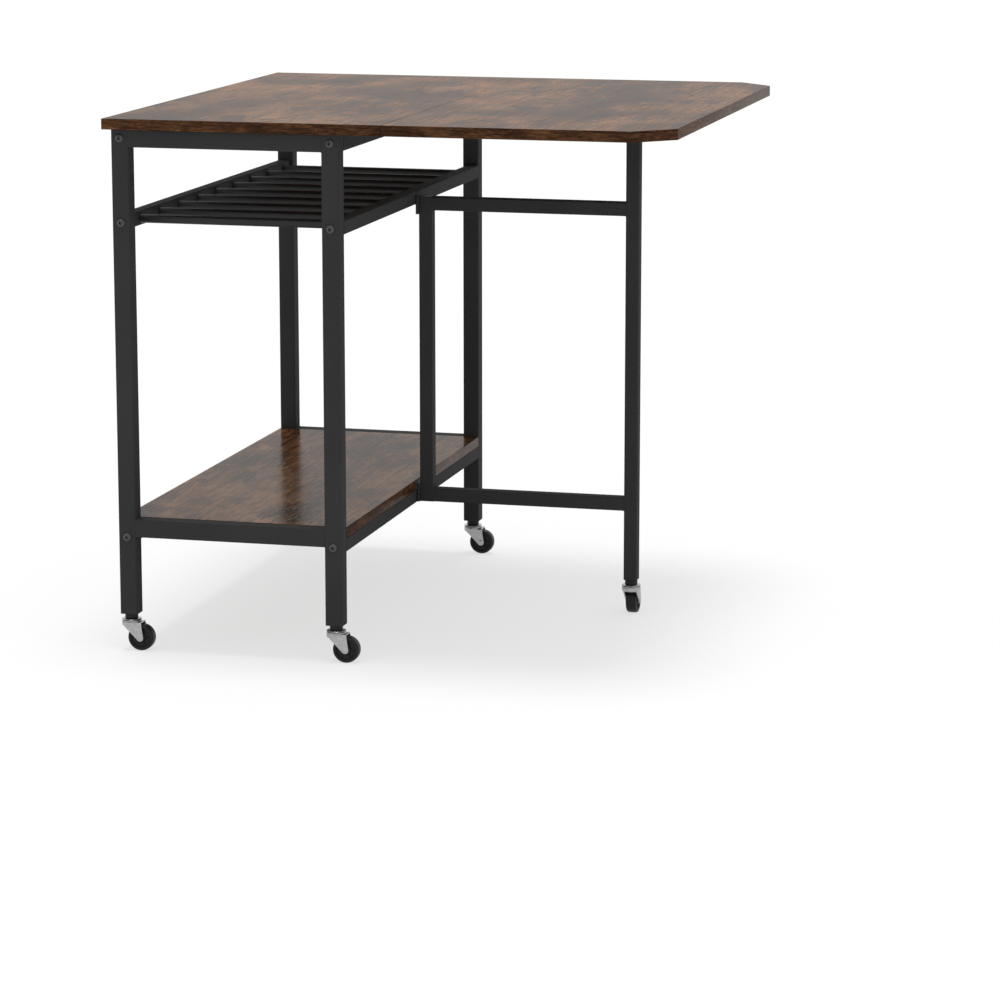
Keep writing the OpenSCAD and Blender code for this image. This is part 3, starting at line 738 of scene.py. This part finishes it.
def weld_tree():
    build = TreeBuild("weld_bead", Seams="Geometry", Pitch="Float", Width="Float", Seed="Int",
                      Finish="Material")
    given = build.given
    curve = build.add("GeometryNodeMeshToCurve", {"Mesh": given["Seams"]})
    walk = build.add("GeometryNodeResampleCurve", {
        "Curve": curve, "Length": given["Pitch"]}, mode="LENGTH")
    half = build.add("ShaderNodeMath", {0: given["Width"], 1: 0.5}, operation="MULTIPLY")
    puddle = build.add("GeometryNodeMeshUVSphere", {
        "Segments": 8, "Rings": 5, "Radius": half}, "Mesh")
    size = build.add("FunctionNodeRandomValue", {2: 0.90, 3: 1.06, "Seed": given["Seed"]}, 1,
                     data_type="FLOAT")
    return build.done(build.add("GeometryNodeInstanceOnPoints", {
        "Points": walk, "Instance": puddle, "Scale": size}))


# %% Seams and beads
BEAD_WIDTH = 2.4 * MM
BEAD_PITCH = 1.1 * MM
RING_BEAD_WIDTH = 0.7 * BEAD_WIDTH
BEAD_SUNK = 1.05 * MM
BEAD_OVER_POST = 0.5 * MM
SEAM_SHORT = 1.8 * MM
WELD_SEED = 5
RING_POINTS = 16
WELD_TREE = weld_tree()


def rail_seams(node, top_too):
    """The seams round both ends of a rail that runs along X between two posts."""
    low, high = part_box(node)
    seams = []
    for end, into_post in ((low.x, -1), (high.x, 1)):
        x = end + into_post * BEAD_OVER_POST
        for y in (low.y + BEAD_SUNK, high.y - BEAD_SUNK):
            seams.append(((x, y, low.z + SEAM_SHORT), (x, y, high.z - SEAM_SHORT)))
        for z in (low.z + BEAD_SUNK / 2, high.z - BEAD_SUNK / 2)[:2 if top_too else 1]:
            seams.append(((end, low.y + SEAM_SHORT, z), (end, high.y - SEAM_SHORT, z)))
    return seams


def bar_seams():
    """A ring of short edges round both ends of each rack bar."""
    low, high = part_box("rack_bars")
    radius = (high.z - low.z) / 2
    seams = []
    for bar in range(RACK_BARS):
        y = low.y + radius + bar * rack_pitch
        rim = [(y + radius * math.cos(2 * math.pi * k / RING_POINTS),
                low.z + radius + radius * math.sin(2 * math.pi * k / RING_POINTS))
               for k in range(RING_POINTS)]
        for x in (low.x, high.x):
            seams += [((x, *rim[k]), (x, *rim[(k + 1) % RING_POINTS]))
                      for k in range(RING_POINTS)]
    return seams


def weld(name, seams, body, width):
    shape = bmesh.new()
    for first, last in seams:
        shape.edges.new([shape.verts.new(first), shape.verts.new(last)])
    bmesh.ops.remove_doubles(shape, verts=shape.verts, dist=1e-6)
    mesh = bpy.data.meshes.new(name + "_seams")
    shape.to_mesh(mesh)
    shape.free()
    piece = run_tree(name, mesh, WELD_TREE, {
        "Pitch": BEAD_PITCH, "Width": width, "Seed": WELD_SEED,
        "Finish": FINISHES["frame_black"]})
    piece.data.shade_smooth()
    return dress(piece, body, "frame_black")


weld("end_frame_welds", [seam for level, top_too in (("top", False), ("low", True))
                         for end in ("front", "rear")
                         for seam in rail_seams(f"end_{level}_rail_{end}", top_too)],
     "frame", BEAD_WIDTH)
weld("rack_welds", bar_seams(), "frame", RING_BEAD_WIDTH)
weld("gate_welds", rail_seams("gate_top_rail", True) + rail_seams("gate_low_rail", True),
     "gate", BEAD_WIDTH)

# %% [markdown]
# ## Frame bolts
# Six black button-head bolts hold each end: one at every leg for the top, rack and shelf
# rails. The head is a dome with a hexagon socket, so its rows are a lathe profile whose
# socket rows take the radius of a hexagon.

# %% Frame bolts


def button_bolt(head_d, head_h, socket, shank_d, length):
    r, hexa = head_d / 2, hexagon(socket)
    wide = hexagon(socket * 1.10)
    dome = [(r * math.cos(a), -head_h * 0.22 - head_h * 0.78 * math.sin(a))
            for a in [math.radians(d) for d in (0, 12, 24, 36, 46)]]
    flat_z = -head_h
    top = dome[-1][1]
    rows = [(0, length), (shank_d / 2 * 0.8, length), (shank_d / 2, length - 0.8 * MM),
            (shank_d / 2, 0), (r * 0.985, 0), (r, -head_h * 0.06)]
    rows += dome
    rows += [(r * 0.56, flat_z * 0.5 + top * 0.5), (r * 0.50, flat_z), (wide, flat_z),
             (hexa, flat_z + 0.2 * MM), (hexa, 0), (0, 1.6 * MM)]
    return swept(rows)


def leg_middle(node):
    low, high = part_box(node)
    return (low + high) / 2


left_x, front_y = leg_middle("leg_front_left")[:2]
right_x, rear_y = leg_middle("leg_rear_right")[:2]
bolt_levels = [leg_middle(n).z for n in ("top_rail_left", "rack_rail_left", "shelf_rail_left")]
end_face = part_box("leg_rear_left")[1].y
bolt_places = [((x, side * end_face, z), (side * math.pi / 2, 0, 0))
               for x in (left_x, right_x) for side in (-1, 1) for z in bolt_levels]
set_out("frame_bolts_dressed", button_bolt(12 * MM, 3.3 * MM, 4 * MM, 6 * MM, 40 * MM),
        bolt_places, "bolt_black", "frame", 2 * math.pi, "frame_bolts")

# %% [markdown]
# ## Screws
# The boards are held from below by pan-head screws with a cross recess. The same rows make
# all of them at their own sizes, and the boxes of the CAD nodes say where they stand.

# %% Screws


def pan_screw(shank_d, length, head_d, head_h):
    r = head_d / 2
    recess = cross(r * 0.62, r * 0.15)
    rows = [(0, length), (shank_d / 2, length - 1.5 * MM), (shank_d / 2, 0), (r * 0.98, 0),
            (r, -head_h * 0.2), (r * 0.97, -head_h * 0.55), (r * 0.86, -head_h * 0.86),
            (r * 0.72, -head_h), (recess, -head_h), (cross(r * 0.4, r * 0.12), -head_h * 0.35),
            (0, -head_h * 0.25)]
    return swept(rows)


def four_corners(node, head_d):
    """The four places of a node's screws, from its box."""
    low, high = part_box(node)
    r = head_d / 2
    return [(low.x + r, low.y + r), (low.x + r, high.y - r),
            (high.x - r, low.y + r), (high.x - r, high.y - r)]


for node, head_h, length in (("top_screws", 2.4, 35), ("shelf_screws", 2.4, 30)):
    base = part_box(node)[0].z + head_h * MM
    spots = [((x, y, base), (0, 0, 0)) for x, y in four_corners(node, 8 * MM)]
    set_out(node + "_dressed", pan_screw(4 * MM, length * MM, 8 * MM, head_h * MM), spots,
            "zinc_steel", "frame", 2 * math.pi, node)

hinge_low, hinge_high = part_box("leaf_hinge_pins")
hinge_rows = [hinge_low.y + 30 * MM, 0, hinge_high.y - 30 * MM]
for node, body in (("leaf_plate_screws", "frame"), ("leaf_flap_screws", "leaf")):
    low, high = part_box(node)
    side = 1 if body == "leaf" else -1
    near, far = sorted((abs(low.x), abs(high.x)))
    xs = {-1: near + 3 * MM, 0: far - 3 * MM, 1: near + 3 * MM}
    spots = [((side * xs[k], y + k * 20 * MM, low.z + 1.5 * MM), (0, 0, 0))
             for y in hinge_rows for k in (-1, 0, 1)]
    set_out(node + "_dressed", pan_screw(3 * MM, 12 * MM, 6 * MM, 1.5 * MM), spots,
            "zinc_steel", body, 2 * math.pi, node)

low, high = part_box("gate_stop_screws")
spots = [((x, (low.y + high.y) / 2, low.z + 1.5 * MM), (0, 0, 0))
         for x in (low.x + 2 * MM, high.x - 2 * MM)]
set_out("gate_stop_screws_dressed", pan_screw(2.5 * MM, 19 * MM, 4 * MM, 1.5 * MM), spots,
        "zinc_steel", "leaf", 2 * math.pi, "gate_stop_screws")

# %% [markdown]
# ## Casters
# Each leg stands on a swivel caster. From the leg down there is a black insert that holds
# the stem, the upper ball race, a gap, the lower race, a round crown with a skirt, the two
# cheeks of the fork and a hard black wheel on a riveted axle. One caster is made round its
# swivel axis, trailing towards +X, and copied to its five places.

# %% Sizes of a caster
AXLE_X, AXLE_Z = 15 * MM, 19 * MM
CHEEK_OUT, SHEET = 10.4 * MM, 1.8 * MM
CROWN_TOP, SKIRT_LOW = 41.6 * MM, 36.2 * MM
CHEEK_FRONT, CHEEK_REAR = -8.96 * MM, 16.7 * MM
FOOT_R = 5 * MM
STEM_BORE = 4.05

CASTERS = {}
for corner in ("front_left", "front_right", "rear_left", "rear_right", "gate"):
    pivot = joint_place["swivel_" + corner]
    axle = joint_place["roll_" + corner]
    turn = math.atan2(axle.y - pivot.y, axle.x - pivot.x)
    CASTERS[corner] = Matrix.Translation((pivot.x, pivot.y, 0)) @ Matrix.Rotation(turn, 4, "Z")
print("casters at:", {c: tuple(round(v, 4) for v in m.translation) for c, m in CASTERS.items()})

# %% [markdown]
# ## The fork
# The fork is pressed from one sheet: a crown across the top, bent down into two cheeks. The
# rear edge of a cheek is nearly upright and its front edge slants down to a round foot. It is
# made as rows of points that run from one foot over the crown to the other, each row from
# the sheet's front edge to its rear edge. Solidify then gives the sheet its thickness towards
# the inside and Bevel eases the cut edges. The round crown, its half skirt and the lower race
# are turned.

# %% Cheek


def slant_foot(corner_x, corner_z, side):
    """Where the straight edge from a top corner meets the round foot."""
    run, drop = AXLE_X - corner_x, corner_z - AXLE_Z
    reach = math.hypot(run, drop)
    turn = math.asin(FOOT_R / reach)
    along = math.atan2(-drop, run) - side * turn
    length = math.sqrt(reach ** 2 - FOOT_R ** 2)
    return corner_x + length * math.cos(along), corner_z + length * math.sin(along)


FRONT_FOOT = slant_foot(CHEEK_FRONT, SKIRT_LOW, 1)
REAR_FOOT = slant_foot(CHEEK_REAR, CROWN_TOP, -1)


def cheek_edges(z):
    """Front and rear edge of the cheek at a height."""
    half = math.sqrt(max(FOOT_R ** 2 - (z - AXLE_Z) ** 2, 0))
    front, rear = AXLE_X - half, AXLE_X + half
    if z >= SKIRT_LOW:
        front = CHEEK_FRONT
    elif z > FRONT_FOOT[1]:
        share = (z - FRONT_FOOT[1]) / (SKIRT_LOW - FRONT_FOOT[1])
        front = FRONT_FOOT[0] + (CHEEK_FRONT - FRONT_FOOT[0]) * share
    if z > REAR_FOOT[1]:
        share = (z - REAR_FOOT[1]) / (CROWN_TOP - REAR_FOOT[1])
        rear = REAR_FOOT[0] + (CHEEK_REAR - REAR_FOOT[0]) * share
    return front, rear


# %% Pressed sheet


def fork_sheet(columns=14, bend=2.6 * MM):
    """Grid of the pressed sheet's outer face."""
    rows = []
    for k in range(9):
        angle = math.pi / 2 * (1 - k / 8)
        z = AXLE_Z - FOOT_R * math.sin(angle) * 0.999
        rows.append((CHEEK_OUT, z, z))
    straight = CROWN_TOP - bend - AXLE_Z
    heights = sorted({AXLE_Z + straight * k / 11 for k in range(1, 12)} | {SKIRT_LOW})
    rows += [(CHEEK_OUT, z, z) for z in heights]
    for k in range(1, 7):
        angle = math.pi / 2 * k / 6
        rows.append((CHEEK_OUT - bend * (1 - math.cos(angle)),
                     CROWN_TOP - bend * (1 - math.sin(angle)), CROWN_TOP))
    rows.append((0, CROWN_TOP, CROWN_TOP))
    rows = rows + [(-y, z, width_z) for y, z, width_z in rows[-2::-1]]
    points, faces = [], []
    for y, z, width_z in rows:
        front, rear = cheek_edges(width_z)
        for c in range(columns + 1):
            points.append((front + (rear - front) * c / columns, y, z))
    for r in range(len(rows) - 1):
        for c in range(columns):
            a = r * (columns + 1) + c
            faces.append((a, a + 1, a + columns + 2, a + columns + 1))
    return points, faces


def pressed_sheet(name, corner):
    """The sheet with its thickness and eased edges, as plain points and faces."""
    sheet = new_mesh(name, [moved(fork_sheet(), CASTERS[corner])], FINISHES["caster_zinc"])
    thick = sheet.modifiers.new("thickness", "SOLIDIFY")
    thick.thickness, thick.offset = SHEET, -1
    rim = sheet.modifiers.new("eased", "BEVEL")
    rim.width, rim.segments, rim.limit_method = 0.35 * MM, 2, "ANGLE"
    rim.angle_limit = math.radians(50)
    ready = sheet.evaluated_get(bpy.context.evaluated_depsgraph_get())
    mesh = bpy.data.meshes.new_from_object(ready)
    bpy.data.objects.remove(sheet)
    return ([tuple(v.co) for v in mesh.vertices], [tuple(p.vertices) for p in mesh.polygons])


# %% Turned pieces of the fork


def ring(rows, count=56):
    """A closed profile of (radius, height) in mm, swept round Z."""
    points, faces = [], []
    for k in range(count):
        angle = 2 * math.pi * k / count
        points += [(r * MM * math.cos(angle), r * MM * math.sin(angle), z * MM) for r, z in rows]
    n = len(rows)
    for k in range(count):
        a, b = k * n, (k + 1) % count * n
        faces += [(a + i, a + (i + 1) % n, b + (i + 1) % n, b + i) for i in range(n)]
    return points, faces


CROWN_RING = ring([(STEM_BORE, 39.6), (13.4, 39.6), (14, 40.0), (14, 41.0), (13.8, 41.4),
                   (13.3, 41.6), (STEM_BORE, 41.6)])
LOWER_RACE = ring([(STEM_BORE, 41.6), (12.9, 41.6), (13.6, 41.75), (13.95, 42.2), (14, 42.6),
                   (13.8, 43.1), (13.2, 43.5), (12.6, 43.6), (STEM_BORE, 43.6)])
UPPER_RACE = ring([(STEM_BORE, 44.2), (12.4, 44.2), (13.3, 44.3), (13.9, 44.7), (14, 45.1),
                   (13.6, 45.6), (12.8, 45.8), (STEM_BORE, 45.8)])


def skirt_shell(outer=13.9, inner=12.2, low=36.2, top=40.8, steps=28):
    """Half a ring under the crown's front, closed onto the outsides of the cheeks. Its lower
    edge rises towards the sides, where it runs out under the crown."""
    wall, rise, run_out = CHEEK_OUT / MM, 3.6, 9.5
    meet = math.asin(wall / inner)
    outline = [(outer, math.pi / 2 + math.pi * k / steps) for k in range(steps + 1)]
    outline.append((wall, 3 * math.pi / 2))
    outline += [(inner, math.pi + meet - 2 * meet * k / steps) for k in range(steps + 1)]
    outline.append((wall, math.pi / 2))
    shape = bmesh.new()
    base, lid = [], []
    for r, a in outline:
        x, y = r * math.cos(a), r * math.sin(a)
        share = min(max(1 + x / run_out, 0), 1)
        lift = rise * share * share * (3 - 2 * share)
        base.append(shape.verts.new((x * MM, y * MM, (low + lift) * MM)))
        lid.append(shape.verts.new((x * MM, y * MM, top * MM)))
    shape.faces.new(base)
    shape.faces.new(lid)
    for k in range(len(outline)):
        shape.faces.new((base[k - 1], base[k], lid[k], lid[k - 1]))
    bmesh.ops.recalc_face_normals(shape, faces=shape.faces)
    ease(shape, 0.3 * MM)
    shape.verts.index_update()
    points = [tuple(v.co) for v in shape.verts]
    faces = [tuple(v.index for v in f.verts) for f in shape.faces]
    shape.free()
    return points, faces


SKIRT = skirt_shell()


def make_fork(corner):
    name = "caster_fork_" + corner
    shells = [moved(shell, CASTERS[corner]) for shell in (CROWN_RING, SKIRT, LOWER_RACE)]
    shells.append(pressed_sheet(name + "_sheet", corner))
    piece = new_mesh(name, shells, FINISHES["caster_zinc"])
    return dress(piece, "caster_" + corner, "caster_zinc", "fork_" + corner)


# %% [markdown]
# ## Wheel, axle and stem
# The wheel is turned: a hub, a sunk web and a rim with a rounded tread. Six low ribs stiffen
# the web on each side, set out by their own node tree from a count and a radius. The axle is
# a rivet with domed ends. The stem is riveted under the crown and carries the upper race. The
# insert that holds it in the tube is moulded in black plastic, with a boss that shows.

# %% Wheel
RIBS = 6


def wheel_shell():
    half = [(3.05, 8.0), (5.6, 8.0), (6.6, 7.85), (7.0, 7.4), (7.25, 6.2), (7.9, 5.5),
            (13.0, 5.5), (13.6, 6.0), (13.85, 7.5), (14.3, 7.95), (15.6, 8.0), (16.9, 7.9),
            (17.8, 7.45), (18.45, 6.6), (18.85, 5.2), (19.0, 3.2), (19.0, 0)]
    rows = half + [(r, -y) for r, y in half[-2::-1]] + [half[0]]
    return swept([(r * MM, y * MM) for r, y in rows], 64)


def ring_closed(shell, count):
    """Drops the doubled last ring of a closed profile."""
    points, faces = shell
    kept = points[:-count]
    return kept, [[i if i < len(kept) else i - len(kept) for i in f] for f in faces]


def rib_tree():
    """Boxes set round an axis, from a count, a radius, a height and the size of one rib."""
    build = TreeBuild("wheel_ribs", Count="Int", Radius="Float", Height="Float", Size="Vector",
                      Finish="Material")
    given = build.given
    circle = build.add("GeometryNodeMeshCircle", {
        "Vertices": given["Count"], "Radius": given["Radius"]}, "Mesh")
    lift = build.add("ShaderNodeCombineXYZ", {"Z": given["Height"]})
    spots = build.add("GeometryNodeSetPosition", {"Geometry": circle, "Offset": lift})
    rib = build.add("GeometryNodeMeshCube", {"Size": given["Size"]}, "Mesh")
    step = build.add("ShaderNodeMath", {0: 2 * math.pi, 1: given["Count"]}, operation="DIVIDE")
    index = build.add("GeometryNodeInputIndex", {})
    angle = build.add("ShaderNodeMath", {0: index, 1: step}, operation="MULTIPLY")
    turn = build.add("ShaderNodeCombineXYZ", {"Z": angle})
    return build.done(build.add("GeometryNodeInstanceOnPoints", {
        "Points": spots, "Instance": rib, "Rotation": turn}))


def rib_shells():
    """The ribs of both sides of the web, as plain shells round Z."""
    ribs = run_tree("ribs", bpy.data.meshes.new("empty"), rib_tree(), {
        "Count": RIBS, "Radius": 10.4 * MM, "Height": 6.0 * MM,
        "Size": (6.6 * MM, 1.3 * MM, 1.6 * MM), "Finish": FINISHES["wheel_black"]})
    points = [tuple(v.co) for v in ribs.data.vertices]
    faces = [tuple(p.vertices) for p in ribs.data.polygons]
    bpy.data.objects.remove(ribs)
    return [(points, faces), ([(x, y, -z) for x, y, z in points], faces)]


WHEEL_AXIS = Matrix.Translation((AXLE_X, 0, AXLE_Z)) @ Matrix.Rotation(math.pi / 2, 4, "X")
WHEEL_SHELLS = [ring_closed(wheel_shell(), 64)] + rib_shells()


def make_wheel(corner):
    place = CASTERS[corner] @ WHEEL_AXIS
    piece = new_mesh("caster_wheel_" + corner, [moved(s, place) for s in WHEEL_SHELLS],
                     FINISHES["wheel_black"])
    return dress(piece, "roller_" + corner, "wheel_black", "wheel_" + corner)


# %% Axle, stem and insert


def axle_shell():
    half = [(0, 11.4), (1.6, 11.4), (2.7, 11.25), (3.5, 10.9), (3.75, 10.6), (3.75, 10.4),
            (2.5, 10.4)]
    rows = half + [(r, -y) for r, y in half[::-1]]
    return swept([(r * MM, y * MM) for r, y in rows], 40)


def stem_shell():
    rows = [(0, 37.7), (5.2, 37.7), (6.1, 38.0), (6.4, 38.5), (6.4, 39.3), (4.0, 39.3),
            (4.0, 75.0), (3.5, 75.5), (0, 75.5)]
    return swept([(r * MM, z * MM) for r, z in rows], 40)


def insert_shells(plug_half):
    """The black insert: a round boss under the tube and its plug inside."""
    boss = ring([(STEM_BORE, 45.8), (8.35, 45.8), (8.95, 46.1), (9.25, 46.7), (9.25, 52.9),
                 (8.85, 53.5), (STEM_BORE, 53.5)])
    plug = ring([(STEM_BORE, 53.5), (plug_half, 53.5), (plug_half, 65.5), (STEM_BORE, 65.5)], 40)
    return [boss, plug]


def make_axle(corner):
    place = CASTERS[corner] @ WHEEL_AXIS
    piece = new_mesh("caster_axle_" + corner, [moved(axle_shell(), place)],
                     FINISHES["caster_zinc"])
    return dress(piece, "caster_" + corner, "caster_zinc", "axle_" + corner)


def make_stems(name, corners, body, plug_half, stem_node, insert_node):
    """Stems with their upper races, and the black inserts that hold them."""
    steel = [moved(shell, CASTERS[c]) for c in corners
             for shell in (stem_shell(), UPPER_RACE)]
    dress(new_mesh("caster_stem_" + name, steel, FINISHES["caster_zinc"]), body,
          "caster_zinc", stem_node)
    black = [moved(shell, CASTERS[c]) for c in corners
             for shell in insert_shells(plug_half)]
    dress(new_mesh("caster_insert_" + name, black, FINISHES["black_plastic"]), body,
          "black_plastic", insert_node)


for corner in CASTERS:
    make_fork(corner)
    make_wheel(corner)
    make_axle(corner)

leg_corners = [c for c in CASTERS if c != "gate"]
make_stems("legs", leg_corners, "frame", 11.0, "leg_stems", "leg_inserts")
make_stems("gate", ["gate"], "gate", 8.6, "gate_stem", "gate_insert")
